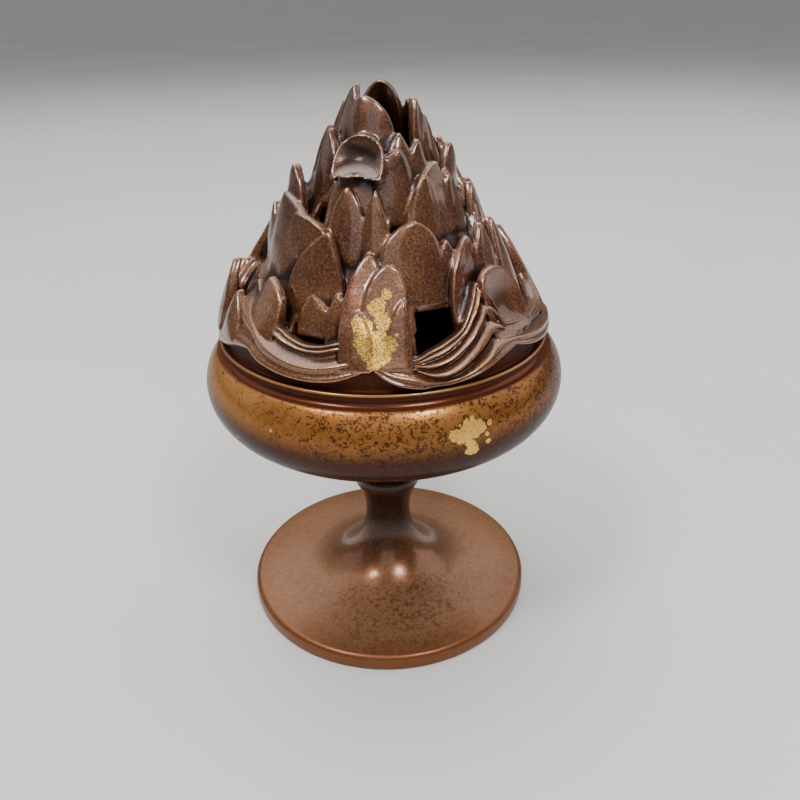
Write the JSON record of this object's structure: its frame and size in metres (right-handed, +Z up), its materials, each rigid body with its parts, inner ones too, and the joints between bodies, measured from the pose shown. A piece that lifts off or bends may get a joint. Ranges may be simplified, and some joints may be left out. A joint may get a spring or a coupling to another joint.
{
  "type": "hill censer",
  "caption": "Bronze incense burner: round bowl on a waisted stem and disc foot, under a pierced lid cast as tiered hill peaks above scalloped waves; the lid lifts off over a pin stand.",
  "frame": {"origin": "centre of the standing ring of the foot, on the surface it stands on", "axes": "+Z up along the axis of bowl and stem, -Y to the front peak with the splash of gold, +X to the right"},
  "size_m": [0.09, 0.09, 0.136],
  "materials": {
    "foot_bronze": "dark brown patina with fine tan mottling",
    "bowl_bronze": "golden brown patina with dark speckle",
    "lid_bronze": "dark reddish brown patina with worn bright edges",
    "bolt_steel": "plain steel",
    "pad_fibre": "pressed mineral fibre",
    "holder_brass": "satin brass"
  },
  "bodies": {
    "stand": {"pedestal_foot": "foot_bronze", "bowl": "bowl_bronze", "tie_bolt": "bolt_steel", "tie_washer": "bolt_steel", "heat_pad": "pad_fibre"},
    "lid": {"lid_rim_ring": "lid_bronze", "lid_mountain": "lid_bronze"},
    "holder": {"holder_base": "holder_brass", "holder_pin": "holder_brass"}
  },
  "joints": [
    {"name": "lid_lift", "type": "slide", "parent": "stand", "child": "lid", "axis": [0, 0, 1], "range_m": [0, 0.08]},
    {"name": "holder_lift", "type": "slide", "parent": "stand", "child": "holder", "axis": [0, 0, 1], "range_m": [0, 0.024]}
  ]
}
